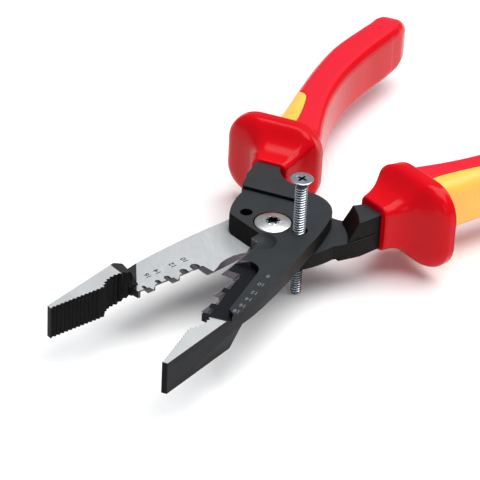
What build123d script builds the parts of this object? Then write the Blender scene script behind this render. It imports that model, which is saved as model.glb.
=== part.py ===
"""Combination wire stripper with insulated handles, standing open with a machine screw in its cutter.

Millimetres. The origin is on the pivot axis, at the outer face of the pivot nut. +Z runs up along the
pivot axis, +X along the middle line of the open jaws. Both forged halves have the same shape: each is
drawn in its own half frame, with its lap face at z = 0, its cheek above it, its jaw along +x and its
handle along -x on the -y side.
"""

from build123d import *
from math import cos, radians, sin
import os

os.makedirs("parts", exist_ok=True)

# Forged halves
jaw_length = 75.0  # pivot axis to nose tip
half_opening = 14.43  # each jaw's angle from the middle line
cheek = 4.4  # thickness of one half at the pivot
nose_half = 4.85  # half thickness of the nose
neck_half = 5.5  # half thickness of the neck, where it enters the handle
lap_gap = 0.04  # each lap face lies this far from the lap plane
wall_base = 21.0  # round wall that the other half's head turns past: radius at the lap face
wall_top = 24.0  # and at the neck's outer face
nose_root = (50.3, 7.8)  # outer corner where the ground nose begins
nose_rear = [(45.0, 1.7), (43.8, 9.36)]  # rear wall of the nose on the lap face, inner end first
nose_lean = 2.6  # the rear wall leans forward by this much over the nose's half thickness
heel = [(46.3, 6.0), (48.8, 8.25)]  # cut across the rear wall's outer corner, on the nose's outer face
heel_lean = 4.4
ramp_foot = [(46.9, 1.0), (46.6, 8.0)]  # foot of the ramp from the knives up to the nose
ramp_run = 4.2
tip_wide = 1.6  # width of the blunt tip
meet_gap = 0.03  # each nose stops this far from the middle line when closed
tooth_pitch = 1.3
tooth_depth = 0.45
fine_teeth = 13
grip_centre = (51.8, -4.2)  # round pipe grip behind the fine teeth
grip_radius = 7.4
grip_tooth = 0.3
grip_steps = 16

# Knives
knife_end = 47.0  # front end of the knives
bevel_end = 46.2  # front end of the first stripping edge
knife_edge = -0.95  # the edge crosses the middle line by this much
knife_thick = 2.3
land = 0.25  # thickness left at the sharp edges
bar_places = [43.4, 35.1]  # front faces of the bars between the notches
bar_tip = -2.6
bar_wide = 2.2
cutter_start = 25.0  # front face of the last bar, where the cutter begins
cutter_tip = -4.9
throat = (9.0, -3.2)  # rear end of the cutter
cutter_curve = [(22.3, -3.9), (20.3, -2.7), (18.0, -2.0), (15.0, -1.75), (12.8, -2.1)]
wire_holes = {27.1: 1.35, 31.0: 1.1, 36.6: 0.88, 39.8: 0.7, 44.5: 0.55}  # place and radius
pocket_wall = 5.9  # upper wall of the milled pocket above the knives
pocket_rear = 21.0
pocket_corner = 4.0
scoop_spot = (10.1, 0.8)  # round scoop beside the pivot
scoop_radius = 6.0
scoop_depth = 1.8
head_lean = 2.2  # slope of the pivot head's front wall over the cheek's thickness
head_wall = 12.5  # length of that wall

# Pivot
pin_radius = 3.5
pin_clearance = 0.05
screw_head_radius = 5.2
recess_clearance = 0.3
recess_depth = 1.3
dome = 0.8
shank_radius = 2.4
shank_clearance = 0.03
star_reach = 1.5
star_lobe = 0.5
star_depth = 1.7
nut_floor = 1.2

# Machine screw cutter
large_hole = 2.13
large_hole_spot = (-1.6, 8.2)
small_hole = 1.80
small_hole_spot = (0.6, -8.8)
screw_radius = 1.75
screw_spot = (-1.52, 7.88)  # leaning against the large hole's wall
screw_rise = 21.2  # head top above the lap plane
screw_drop = 16.0  # point below the lap plane
screw_head = 3.2
screw_head_height = 1.8
screw_chamfer = 0.4
slot_depth = 1.1
slot_wide = 0.7

# Tang and insulation
neck_start = -26.5
tang_start = -31.0
tang_end = -106.0
tang_half = 3.0
layer_wall = 1.2
layer_half = tang_half + layer_wall
neck_inner = -8.6
neck_outer = -15.6
neck_clearance = 0.15
tang_middle = (neck_inner + neck_outer) / 2
inlay_depth = 1.2
inlay_start = -41.4  # behind the guard's rim

# Handle rows: place along x, inner edge, outer edge, half height
handle_shift = -0.65  # the handles' sections are centred this far from the lap plane
handle_rows = [
    (-40.5, -2.2, -19.2, 8.5),
    (-48.0, -4.2, -19.4, 8.35),
    (-55.0, -6.2, -19.7, 8.15),
    (-69.0, -9.2, -20.7, 8.05),
    (-83.0, -10.1, -21.3, 8.05),
    (-97.0, -8.9, -20.8, 8.1),
    (-111.0, -6.4, -18.0, 8.1),
]
handle_corner = 3.6
butt_start = -118.0
butt_length = 10.0
butt_centre = -10.9
butt_half_wide = 5.7
butt_half_high = 7.8
butt_turns = (0, 25, 48, 66, 78)

# Guard rows: place along x, inner edge, outer edge, half height, corner radius
guard_rows = [
    (-26.3, -6.7, -17.6, 7.1, 2.4),
    (-30.0, -5.8, -18.2, 7.5, 3.0),
    (-33.5, -4.4, -20.6, 8.9, 4.5),
    (-36.0, -2.9, -25.4, 11.3, 7.0),
    (-37.6, -1.9, -28.7, 12.9, 9.0),
    (-38.4, -1.6, -29.5, 13.2, 9.0),
    (-41.2, -1.3, -30.0, 13.25, 9.0),
]

lap_z = cheek
opening = radians(half_opening)
upper_frame = Plane((0, 0, lap_z), x_dir=(cos(opening), sin(opening), 0), z_dir=(0, 0, 1))
lower_frame = Plane((0, 0, lap_z), x_dir=(cos(opening), -sin(opening), 0), z_dir=(0, 0, -1))
tang_mean = (tang_start + tang_end) / 2


def station(frame, x):
    """Plane across a half frame: its x is the half's y, its y is the half's z."""
    return Plane(frame.from_local_coords((x, 0, 0)), x_dir=frame.y_dir, z_dir=frame.x_dir)


def edge_plane(frame, start, end):
    """Plane across the line from start to end: its x points left of that line, its y is the half's z."""
    along = (Vector(*end) - Vector(*start)).normalized()
    along = frame.x_dir * along.X + frame.y_dir * along.Y
    left = frame.z_dir.cross(along)
    return Plane(frame.from_local_coords((start[0], start[1], 0)), x_dir=left, z_dir=along)


def nose_face():
    """Serrated inner face of the nose, from the tip back to the knives."""
    points = [(jaw_length, meet_gap)]
    for i in range(fine_teeth):
        crest = jaw_length - 0.35 - i * tooth_pitch
        points.append((crest, meet_gap))
        points.append((crest - tooth_pitch / 2, meet_gap + tooth_depth))
    for i in range(grip_steps + 1):
        angle = radians(38 + (128 - 38) * i / grip_steps)
        reach = grip_radius + (grip_tooth if i % 2 else -grip_tooth)
        points.append((grip_centre[0] + reach * cos(angle), grip_centre[1] + reach * sin(angle)))
    return points


def knife_line():
    """Edge of the knives on the lap face, from the nose back to the cutter's throat."""
    points = [(knife_end, knife_edge)]
    for place in bar_places:
        points.append((place, knife_edge))
        points.append((place - 0.3, bar_tip))
        points.append((place - bar_wide, knife_edge))
    points.append((cutter_start, knife_edge))
    points.append((cutter_start - 0.6, cutter_tip))
    points += cutter_curve
    points.append(throat)
    return points


def forged_half(frame):
    """One half: nose, knives, pivot head, neck and tang in a single forging."""
    face = nose_face()
    head_end = (-19.3, 3.0)
    head_front = (2.8, -12.0)
    head_side = (-10.5, -13.9)
    neck_line = [(neck_start, neck_outer), (tang_start, neck_outer)]
    neck_line += [(tang_start, neck_inner), (neck_start, neck_inner)]
    with BuildPart() as half:
        # cheek: knives, pivot head and the near side of the neck
        with BuildSketch(frame.offset(lap_gap)):
            with BuildLine():
                Polyline(nose_root, face[-1], *knife_line())
                ThreePointArc(throat, (6.3, -8.4), head_front)
                ThreePointArc(head_front, (-3.6, -13.8), head_side)
                ThreePointArc(head_side, (-18.8, -15.9), (neck_start, neck_outer))
                Polyline(*neck_line)
                ThreePointArc((neck_start, neck_inner), (-20.6, -4.6), head_end)
                ThreePointArc(head_end, (-16.6, 10.0), (-10.0, 13.5))
                ThreePointArc((-10.0, 13.5), (-1.5, 13.95), (6.9, 13.4))
                ThreePointArc((6.9, 13.4), (25.0, 12.35), (39.0, 10.5))
                Line((39.0, 10.5), nose_root)
            make_face()
        extrude(amount=cheek - lap_gap)

        # pocket milled above the knives
        with BuildSketch(frame.offset(knife_thick)):
            with BuildLine():
                Line((50.0, -8), (pocket_rear, -8))
                Line((pocket_rear, -8), (pocket_rear, pocket_wall - pocket_corner))
                RadiusArc(
                    (pocket_rear, pocket_wall - pocket_corner),
                    (pocket_rear + pocket_corner, pocket_wall),
                    pocket_corner,
                )
                Polyline((pocket_rear + pocket_corner, pocket_wall), (44.6, pocket_wall), ramp_foot[1])
                Polyline(ramp_foot[1], (50.0, 7.0), (50.0, -8))
            make_face()
        extrude(amount=cheek, mode=Mode.SUBTRACT)

        # ground bevels: the stripping edges and bars, then the cutter
        starts = [bevel_end] + [place - bar_wide for place in bar_places]
        edges = [((e, knife_edge), (s, knife_edge)) for s, e in zip(starts, bar_places + [cutter_start])]
        edges += [((place - bar_wide, bar_tip), (place, bar_tip)) for place in bar_places]
        for start, end in edges:
            with BuildSketch(edge_plane(frame, start, end)):
                Polygon((-1.2, land), (0, land), (knife_thick, knife_thick + land), (-1.2, 3), align=None)
            extrude(amount=abs(end[0] - start[0]), mode=Mode.SUBTRACT)
        cutter_wedge = edge_plane(frame, throat, (cutter_start, cutter_tip))
        with BuildSketch(cutter_wedge):
            Polygon((-4, land), (0, land), (cheek, cheek + land), (-4, cheek + land), align=None)
        extrude(amount=cutter_start - throat[0], mode=Mode.SUBTRACT)

        # sloping front wall of the pivot head
        with BuildSketch(edge_plane(frame, (1.0, -12.6), (5.2, -4.4))):
            Polygon((0, cheek), (-head_lean, 0), (-8, 0), (-8, cheek), align=None)
        extrude(amount=head_wall, mode=Mode.SUBTRACT)

        # notches for the wires
        with BuildSketch(frame):
            for place, radius in wire_holes.items():
                with Locations((place, 0)):
                    Circle(radius)
                with Locations((place, -1)):
                    Rectangle(2 * radius, 2)
        extrude(amount=cheek, mode=Mode.SUBTRACT)

        # scoop beside the pivot
        with Locations(frame.from_local_coords((*scoop_spot, cheek + scoop_radius - scoop_depth))):
            Sphere(scoop_radius, mode=Mode.SUBTRACT)

        # nose past the lap plane, its rear wall leaning forward
        with BuildSketch(frame.offset(-nose_half)):
            with BuildLine():
                Polyline(*face)
                Polyline(face[-1], *nose_rear, nose_root, (jaw_length, tip_wide), face[0])
            make_face()
        extrude(amount=nose_half + lap_gap)
        with BuildSketch(edge_plane(frame, *nose_rear)):
            Polygon((0, lap_gap), (8, lap_gap), (8, -nose_half), (-nose_lean, -nose_half), align=None)
        extrude(amount=14, both=True, mode=Mode.SUBTRACT)

        with BuildSketch(edge_plane(frame, *heel)):
            Polygon((0, -nose_half), (heel_lean, 0), (9, 0), (9, -nose_half), align=None)
        extrude(amount=14, both=True, mode=Mode.SUBTRACT)

        # nose above the lap plane, with the ramp up from the knives
        with BuildSketch(frame.offset(lap_gap)):
            with BuildLine():
                Polyline(*face)
                Polyline(face[-1], *ramp_foot, (46.6, 8.69), nose_root, (jaw_length, tip_wide), face[0])
            make_face()
        extrude(amount=nose_half - lap_gap)
        with BuildSketch(edge_plane(frame, *ramp_foot)):
            Polygon((0, knife_thick), (-ramp_run, nose_half), (0, nose_half), align=None)
        extrude(amount=7.2, mode=Mode.SUBTRACT)

        # neck: raised near side, and the far side behind the round wall
        with BuildSketch(frame.offset(lap_gap)):
            with BuildLine():
                Line((-12.5, -14.2), (-18.8, -15.75))
                Line((-18.8, -15.75), (neck_start, neck_outer))
                Polyline(*neck_line)
                ThreePointArc((neck_start, neck_inner), (-22.4, -6.5), (-19.6, -2.0))
                Polyline((-19.6, -2.0), (-19.3, 1.6), (-12.5, 1.6), (-12.5, -14.2))
            make_face()
        extrude(amount=neck_half - lap_gap)
        with BuildSketch(frame.offset(lap_gap)):
            with BuildLine():
                Polyline((-20.4, -6.0), (-14.0, -15.0), (-20.4, -15.6), (neck_start, neck_outer))
                Polyline(*neck_line)
                ThreePointArc((neck_start, neck_inner), (-23.2, -7.4), (-20.4, -6.0))
            make_face()
        extrude(amount=-neck_half - lap_gap)
        with BuildSketch(frame.offset(lap_gap)):
            Circle(wall_base)
        with BuildSketch(frame.offset(-neck_half)):
            Circle(wall_top)
        loft(mode=Mode.SUBTRACT)

        # tang inside the handle
        with BuildSketch(frame.offset(-tang_half)):
            tang_outline()
        extrude(amount=2 * tang_half)

        # pivot bore, head recess and cutter holes
        with BuildSketch(frame.offset(-neck_half)):
            Circle(pin_radius + pin_clearance)
            for spot, radius in ((large_hole_spot, large_hole), (small_hole_spot, small_hole)):
                local = frame.to_local_coords(Vector(*spot, lap_z))
                with Locations((local.X, local.Y)):
                    Circle(radius)
        extrude(amount=2 * neck_half, mode=Mode.SUBTRACT)
        with BuildSketch(frame.offset(cheek - recess_depth)):
            Circle(screw_head_radius + recess_clearance)
        extrude(amount=neck_half, mode=Mode.SUBTRACT)
    return half.part


def tang_outline(grow=0.0):
    """The tang's outline in the current sketch, grown on all sides."""
    with BuildSketch(Plane.XY, mode=Mode.PRIVATE) as outline:
        with BuildLine():
            start = tang_start + 0.5
            ThreePointArc((start, -9.6), (tang_mean, -12.9), (tang_end, -11.0))
            Line((tang_end, -11.0), (tang_end, -14.7))
            ThreePointArc((tang_end, -14.7), (tang_mean, -17.2), (start, -14.5))
            Line((start, -14.5), (start, -9.6))
        make_face()
        if grow:
            offset(amount=grow)
    add(outline.sketch)


def handle_body(frame, inset):
    """Handle from behind the guard to the rounded butt, smaller all round by the inset."""
    rows = [(x, inner - inset, outer + inset, high - inset) for x, inner, outer, high in handle_rows]
    for turn in butt_turns:
        place = butt_start - (butt_length - inset) * sin(radians(turn))
        wide = (butt_half_wide - inset) * cos(radians(turn))
        high = (butt_half_high - inset) * cos(radians(turn))
        rows.append((place, butt_centre + wide, butt_centre - wide, high))
    with BuildPart() as body:
        for x, inner, outer, high in rows:
            with BuildSketch(station(frame, x)):
                with Locations(((inner + outer) / 2, handle_shift)):
                    corner = min(handle_corner, 0.45 * (inner - outer), 0.9 * high)
                    RectangleRounded(inner - outer, 2 * high, corner)
        loft()
    return body.part


def guard_body(frame):
    """Hand guard: a collar round the neck that flares to a wide rim."""
    with BuildPart() as guard:
        for x, inner, outer, high, corner in guard_rows:
            with BuildSketch(station(frame, x)):
                with Locations(((inner + outer) / 2, handle_shift)):
                    RectangleRounded(inner - outer, 2 * high, corner)
        loft(ruled=True)
    return guard.part


def inner_layer(frame):
    """Inner insulation, moulded round the tang from the neck to past its end."""
    with BuildPart() as layer:
        with BuildSketch(frame.offset(-tang_half - layer_wall)):
            tang_outline(layer_wall)
            with Locations((tang_start, tang_middle)):
                Rectangle(2 * layer_wall, 20, align=(Align.MIN, Align.CENTER), mode=Mode.SUBTRACT)
        extrude(amount=2 * (tang_half + layer_wall))
        with BuildSketch(frame.offset(-tang_half)):
            tang_outline()
        extrude(amount=2 * tang_half, mode=Mode.SUBTRACT)
    return layer.part


def inlay_zone(frame):
    """Outer side of the handle, where the soft inlay lies."""
    with BuildPart() as zone:
        with BuildSketch(frame.offset(-20)):
            with BuildLine():
                Polyline((inlay_start, -40), (inlay_start, -10.2), (-55.0, -12.2))
                ThreePointArc((-55.0, -12.2), (-64.5, -14.6), (-73.0, -18.6))
                ThreePointArc((-73.0, -18.6), (-93.0, -19.8), (-112.0, -16.2))
                Polyline((-112.0, -16.2), (-112.0, -40), (inlay_start, -40))
            make_face()
        extrude(amount=40)
    return zone.part


def grip_inlay(frame):
    """Soft inlay let into the outer side of the sleeve."""
    with BuildPart() as inlay:
        add(handle_body(frame, 0))
        add(handle_body(frame, inlay_depth), mode=Mode.SUBTRACT)
        add(inlay_zone(frame), mode=Mode.INTERSECT)
    return inlay.part


def outer_sleeve(frame):
    """Outer insulation with its hand guard, hollow for the neck, the tang layer and the inlay."""
    with BuildPart() as sleeve:
        add(handle_body(frame, 0))
        add(guard_body(frame))
        with BuildSketch(station(frame, tang_start)):
            with Locations((tang_middle, 0)):
                Rectangle(neck_inner - neck_outer + 2 * neck_clearance, 2 * (neck_half + neck_clearance))
        extrude(amount=10, mode=Mode.SUBTRACT)
        with BuildSketch(frame.offset(-layer_half)):
            tang_outline(layer_wall)
        extrude(amount=2 * layer_half, mode=Mode.SUBTRACT)
        add(grip_inlay(frame), mode=Mode.SUBTRACT)
    return sleeve.part


# Forged halves
with BuildPart() as upper_half:
    add(forged_half(upper_frame))
upper_half.part.label = "upper_half"
export_step(upper_half.part, "parts/upper_half.step")

with BuildPart() as lower_half:
    add(forged_half(lower_frame))
lower_half.part.label = "lower_half"
export_step(lower_half.part, "parts/lower_half.step")

# Handles
with BuildPart() as upper_inner_layer:
    add(inner_layer(upper_frame))
upper_inner_layer.part.label = "upper_inner_layer"
export_step(upper_inner_layer.part, "parts/upper_inner_layer.step")

with BuildPart() as lower_inner_layer:
    add(inner_layer(lower_frame))
lower_inner_layer.part.label = "lower_inner_layer"
export_step(lower_inner_layer.part, "parts/lower_inner_layer.step")

with BuildPart() as upper_sleeve:
    add(outer_sleeve(upper_frame))
upper_sleeve.part.label = "upper_sleeve"
export_step(upper_sleeve.part, "parts/upper_sleeve.step")

with BuildPart() as lower_sleeve:
    add(outer_sleeve(lower_frame))
lower_sleeve.part.label = "lower_sleeve"
export_step(lower_sleeve.part, "parts/lower_sleeve.step")

with BuildPart() as upper_grip_inlay:
    add(grip_inlay(upper_frame))
upper_grip_inlay.part.label = "upper_grip_inlay"
export_step(upper_grip_inlay.part, "parts/upper_grip_inlay.step")

with BuildPart() as lower_grip_inlay:
    add(grip_inlay(lower_frame))
lower_grip_inlay.part.label = "lower_grip_inlay"
export_step(lower_grip_inlay.part, "parts/lower_grip_inlay.step")

# Pivot
with BuildPart() as pivot_nut:
    with BuildSketch(Plane.XY):
        Circle(screw_head_radius)
    extrude(amount=recess_depth)
    with BuildSketch(Plane.XY):
        Circle(pin_radius)
    extrude(amount=2 * cheek - recess_depth)
    with BuildSketch(Plane.XY.offset(nut_floor)):
        Circle(shank_radius + shank_clearance)
    extrude(amount=2 * cheek, mode=Mode.SUBTRACT)
pivot_nut.part.label = "pivot_nut"
export_step(pivot_nut.part, "parts/pivot_nut.step")

head_seat = 2 * cheek - recess_depth
dome_radius = (screw_head_radius**2 + dome**2) / (2 * dome)
with BuildPart() as pivot_screw:
    with BuildSketch(Plane.XY.offset(head_seat)):
        Circle(screw_head_radius)
    extrude(amount=recess_depth + dome)
    with Locations((0, 0, head_seat + recess_depth + dome - dome_radius)):
        Sphere(dome_radius, mode=Mode.INTERSECT)
    with BuildSketch(Plane.XY.offset(nut_floor + shank_clearance)):
        Circle(shank_radius)
    extrude(amount=head_seat - nut_floor)
    with BuildSketch(Plane.XY.offset(head_seat + recess_depth + dome)):
        Circle(star_reach)
        with PolarLocations(star_reach, 6):
            Circle(star_lobe)
    extrude(amount=-star_depth, mode=Mode.SUBTRACT)
pivot_screw.part.label = "pivot_screw"
export_step(pivot_screw.part, "parts/pivot_screw.step")

# Machine screw in the cutter, parted at the lap plane
screw_top = lap_z + screw_rise
with BuildPart() as machine_screw_head_end:
    with BuildSketch(Plane.XY.offset(lap_z + lap_gap)):
        with Locations(screw_spot):
            Circle(screw_radius)
    extrude(amount=screw_rise - lap_gap)
    with BuildSketch(Plane.XY.offset(screw_top - screw_head_height)):
        with Locations(screw_spot):
            Circle(screw_radius)
    with BuildSketch(Plane.XY.offset(screw_top)):
        with Locations(screw_spot):
            Circle(screw_head)
    loft()
    with BuildSketch(Plane.XY.offset(screw_top)):
        with Locations(screw_spot):
            Rectangle(screw_head, slot_wide)
            Rectangle(slot_wide, screw_head)
    extrude(amount=-slot_depth, mode=Mode.SUBTRACT)
machine_screw_head_end.part.label = "machine_screw_head_end"
export_step(machine_screw_head_end.part, "parts/machine_screw_head_end.step")

with BuildPart() as machine_screw_tail:
    with BuildSketch(Plane.XY.offset(lap_z - lap_gap)):
        with Locations(screw_spot):
            Circle(screw_radius)
    extrude(amount=lap_gap - screw_drop)
    chamfer(machine_screw_tail.edges().sort_by(Axis.Z)[0], screw_chamfer)
machine_screw_tail.part.label = "machine_screw_tail"
export_step(machine_screw_tail.part, "parts/machine_screw_tail.step")
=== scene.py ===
import math

import bmesh
import bpy
import numpy as np
from mathutils import Matrix, Vector


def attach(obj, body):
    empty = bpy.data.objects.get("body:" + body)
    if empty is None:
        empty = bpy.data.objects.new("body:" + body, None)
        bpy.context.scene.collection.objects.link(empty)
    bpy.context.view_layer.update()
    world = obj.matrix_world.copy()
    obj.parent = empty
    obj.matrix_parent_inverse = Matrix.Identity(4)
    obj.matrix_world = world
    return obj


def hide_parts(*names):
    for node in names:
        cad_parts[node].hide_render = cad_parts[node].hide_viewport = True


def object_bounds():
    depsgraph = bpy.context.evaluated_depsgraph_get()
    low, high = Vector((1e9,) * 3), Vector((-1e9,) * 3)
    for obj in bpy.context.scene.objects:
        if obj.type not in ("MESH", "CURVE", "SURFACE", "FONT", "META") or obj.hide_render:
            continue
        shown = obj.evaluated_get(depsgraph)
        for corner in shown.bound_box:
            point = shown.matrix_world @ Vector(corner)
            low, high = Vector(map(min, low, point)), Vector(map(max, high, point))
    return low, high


bl_info = {
    "name": "Insulated Wire Stripper",
    "version": (1, 0, 0),
    "blender": (4, 5, 0),
    "location": "3D View > Sidebar > Wire Stripper",
    "description": "Builds the visible pieces of an insulated wire stripper around its packed frame",
    "category": "Object",
}

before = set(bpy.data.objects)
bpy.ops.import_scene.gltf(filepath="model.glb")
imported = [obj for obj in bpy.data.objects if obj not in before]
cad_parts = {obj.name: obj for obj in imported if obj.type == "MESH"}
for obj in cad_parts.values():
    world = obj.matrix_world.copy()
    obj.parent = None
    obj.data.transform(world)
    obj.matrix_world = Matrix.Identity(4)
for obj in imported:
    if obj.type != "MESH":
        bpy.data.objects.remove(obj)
CAD_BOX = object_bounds()

MM = 0.001
OPENING = math.radians(14.43)  # each jaw's angle from the middle line
LAP = 4.4  # height of the lap plane above the nut's face
SIDES = {"upper": 1, "lower": -1}
PIVOT_TOP = 9.6  # top of the pivot screw's dome
SCREW_SPOT = (-1.52, 7.88)  # axis of the machine screw
SCREW_TOP = 25.6  # top of its head
SCREW_TIP = -11.6  # end of its tail


def to_tool(side, points):
    """Points of a half frame in millimetres, as metres in the tool's frame."""
    p = np.atleast_2d(np.asarray(points, float))
    x = math.cos(OPENING) * p[:, 0] - math.sin(OPENING) * p[:, 1]
    y = math.sin(OPENING) * p[:, 0] + math.cos(OPENING) * p[:, 1]
    return np.column_stack([x, side * y, LAP + side * p[:, 2]]) * MM


def to_half(side, points):
    """Points of the tool's frame in metres, as millimetres in a half frame."""
    p = np.atleast_2d(np.asarray(points, float)) / MM
    x, y, z = p[:, 0], side * p[:, 1], side * (p[:, 2] - LAP)
    c, s = math.cos(OPENING), math.sin(OPENING)
    return np.column_stack([c * x + s * y, c * y - s * x, z])


# ---------------------------------------------------------------- settings


def hue(name, text, value):
    """A colour setting, in linear light."""
    return bpy.props.FloatVectorProperty(
        name=name, description=text, subtype="COLOR", size=3, min=0, max=1, default=value
    )


def share(name, text, value):
    """A setting from 0 to 1."""
    return bpy.props.FloatProperty(
        name=name, description=text, subtype="FACTOR", min=0, max=1, default=value
    )


def size(name, text, value):
    """A length setting, given in millimetres and kept in metres."""
    return bpy.props.FloatProperty(
        name=name, description=text, subtype="DISTANCE", unit="LENGTH", default=value * MM
    )


class ForgingSettings(bpy.types.PropertyGroup):
    """Finish of the two forged halves."""

    # black and flat are one black finish with painted light: black is the painted shade of the upright sides
    # (it also fills the black band of the ground faces), flat is the lighter tone painted on the flats where
    # the light falls
    black: hue("Black finish", "Burnished finish on the sides of the forgings", (0.0055, 0.0048, 0.0046))
    flat: hue("Charcoal flats", "Burnished finish on the flats of the forgings", (0.030, 0.033, 0.036))
    steel: hue("Ground steel", "Bare ground faces of the noses and blade", (0.70, 0.72, 0.725))
    cut: hue("Cut steel", "Milled walls of the notches and bars", (0.105, 0.092, 0.105))
    gloss: share("Roughness", "Roughness of the burnished finish", 0.42)
    body_edge: size("Body edge", "Rounding along the edges of the forgings", 0.35)
    neck_edge: size("Neck edge", "Rounding along the edges of the necks", 0.9)
    ink: hue("Blade numbers", "Printed wire sizes on the ground blade", (0.012, 0.012, 0.014))
    etch: hue("Etched numbers", "Lightly etched wire sizes on the black half", (0.13, 0.135, 0.14))


class HandleSettings(bpy.types.PropertyGroup):
    """Colours and finish of the insulated handles."""

    red: hue("Red insulation", "Outer insulation with the guards", (0.60, 0.0008, 0.006))
    yellow: hue("Grip inlay", "Soft inlay on the outer side", (0.93, 0.50, 0.07))
    gloss: share("Roughness", "Roughness of the moulded guards", 0.16)
    satin: share("Panel roughness", "Roughness of the satin panels on the handles", 0.45)
    groove: size("Seam", "Width of the groove round the inlay", 0.16)
    inlay_depth: size("Inlay depth", "Thickness of the soft inlay", 1.15)


class ScrewSettings(bpy.types.PropertyGroup):
    """Pivot screw and the machine screw that stands in the cutter."""

    bright: hue("Pivot steel", "Turned steel of the pivot", (0.70, 0.71, 0.70))
    zinc: hue("Zinc", "Zinc plating of the machine screw", (0.62, 0.68, 0.74))
    pitch: size("Thread pitch", "Pitch of the 6-32 thread", 0.794)
    depth: size("Thread depth", "Depth of the thread", 0.42)


class StageSettings(bpy.types.PropertyGroup):
    """Floor, lights and camera."""

    floor: hue("Floor", "Pale floor", (0.93, 0.93, 0.93))
    azimuth: bpy.props.FloatProperty(
        name="Azimuth", description="Camera's bearing round the tool", default=125.84
    )
    elevation: bpy.props.FloatProperty(
        name="Elevation", description="Camera's height above the horizon, in degrees", default=32.87
    )
    roll: bpy.props.FloatProperty(
        name="Roll", description="Camera's turn about its own axis, in degrees", default=2.741
    )
    distance: size("Distance", "Camera to the pivot", 805.556)
    lens: bpy.props.FloatProperty(
        name="Lens", description="Focal length in millimetres", default=217.5
    )


SETTINGS = {
    "stripper_forging": ForgingSettings,
    "stripper_handle": HandleSettings,
    "stripper_screw": ScrewSettings,
    "stripper_stage": StageSettings,
}

# ---------------------------------------------------------------- shader parts


def node(tree, kind, place, **inputs):
    """A shader node with its input values set; names are written with underscores."""
    made = tree.nodes.new(kind)
    made.location = place
    for name, value in inputs.items():
        socket = made.inputs[name.replace("_", " ")]
        if isinstance(value, bpy.types.NodeSocket):
            tree.links.new(value, socket)
        else:
            socket.default_value = value
    return made


def maths(tree, kind, a, b=0.0, clamp=False):
    """A maths node's output."""
    made = tree.nodes.new("ShaderNodeMath")
    made.operation = kind
    made.use_clamp = clamp
    for i, value in enumerate((a, b)):
        if isinstance(value, bpy.types.NodeSocket):
            tree.links.new(value, made.inputs[i])
        else:
            made.inputs[i].default_value = value
    return made.outputs[0]


def ramp(tree, value, low, high, to_low=0.0, to_high=1.0):
    """Value mapped smoothly from low..high to to_low..to_high."""
    made = tree.nodes.new("ShaderNodeMapRange")
    made.interpolation_type = "SMOOTHSTEP"
    tree.links.new(value, made.inputs["Value"])
    for name, number in zip(("From Min", "From Max", "To Min", "To Max"), (low, high, to_low, to_high)):
        made.inputs[name].default_value = number
    return made.outputs["Result"]


def blend(tree, mask, a, b):
    """Colour a where the mask is 0, colour b where it is 1."""
    made = tree.nodes.new("ShaderNodeMix")
    made.data_type = "RGBA"
    for index, value in ((0, mask), (6, a), (7, b)):
        if isinstance(value, bpy.types.NodeSocket):
            tree.links.new(value, made.inputs[index])
        elif index == 0:
            made.inputs[index].default_value = value
        else:
            made.inputs[index].default_value = (*value, 1.0)
    return made.outputs[2]


def group(name, inputs, outputs):
    """An empty shader node group; inputs map names to defaults, outputs map names to socket types."""
    tree = bpy.data.node_groups.new(name, "ShaderNodeTree")
    for label, value in inputs.items():
        kind = "NodeSocketVector" if isinstance(value, tuple) and len(value) == 3 else "NodeSocketFloat"
        if isinstance(value, tuple) and len(value) == 4:
            kind = "NodeSocketColor"
        socket = tree.interface.new_socket(label, in_out="INPUT", socket_type=kind)
        socket.default_value = value
    for label, kind in outputs.items():
        tree.interface.new_socket(label, in_out="OUTPUT", socket_type=kind)
    return tree, tree.nodes.new("NodeGroupInput"), tree.nodes.new("NodeGroupOutput")


def grain_group():
    """Directional grain: fine streaks along the turned x axis, with slow cloudiness."""
    tree, enter, leave = group(
        "metal_grain",
        {"Turn": (0.0, 0.0, 0.0), "Stretch": (1.0, 1.0, 1.0), "Scale": 4000.0, "Cloud Scale": 120.0},
        {"Height": "NodeSocketFloat", "Cloud": "NodeSocketFloat"},
    )
    place = node(tree, "ShaderNodeTexCoord", (-900, 0))
    turned = node(tree, "ShaderNodeMapping", (-700, 0), Vector=place.outputs["Object"])
    tree.links.new(enter.outputs["Turn"], turned.inputs["Rotation"])
    spread = node(tree, "ShaderNodeMapping", (-500, 0), Vector=turned.outputs[0])
    tree.links.new(enter.outputs["Stretch"], spread.inputs["Scale"])
    streaks = node(
        tree, "ShaderNodeTexNoise", (-300, 100), Vector=spread.outputs[0], Detail=3.0, Roughness=0.6
    )
    tree.links.new(enter.outputs["Scale"], streaks.inputs["Scale"])
    cloud = node(tree, "ShaderNodeTexNoise", (-300, -150), Vector=place.outputs["Object"], Detail=2.0)
    tree.links.new(enter.outputs["Cloud Scale"], cloud.inputs["Scale"])
    tree.links.new(streaks.outputs["Fac"], leave.inputs["Height"])
    tree.links.new(cloud.outputs["Fac"], leave.inputs["Cloud"])
    return tree


def skin_group():
    """Fine skin of a moulded or blasted surface, with slow waviness and small specks."""
    tree, enter, leave = group(
        "surface_skin",
        {"Scale": 3000.0, "Wave Scale": 90.0, "Wave": 0.5},
        {"Height": "NodeSocketFloat", "Tone": "NodeSocketFloat"},
    )
    place = node(tree, "ShaderNodeTexCoord", (-900, 0))
    fine = node(tree, "ShaderNodeTexNoise", (-500, 150), Vector=place.outputs["Object"], Detail=2.0)
    tree.links.new(enter.outputs["Scale"], fine.inputs["Scale"])
    slow = node(tree, "ShaderNodeTexNoise", (-500, -100), Vector=place.outputs["Object"], Detail=1.0)
    tree.links.new(enter.outputs["Wave Scale"], slow.inputs["Scale"])
    waved = maths(tree, "MULTIPLY", slow.outputs["Fac"], enter.outputs["Wave"])
    tree.links.new(maths(tree, "ADD", fine.outputs["Fac"], waved), leave.inputs["Height"])
    tree.links.new(slow.outputs["Fac"], leave.inputs["Tone"])
    return tree


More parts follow.
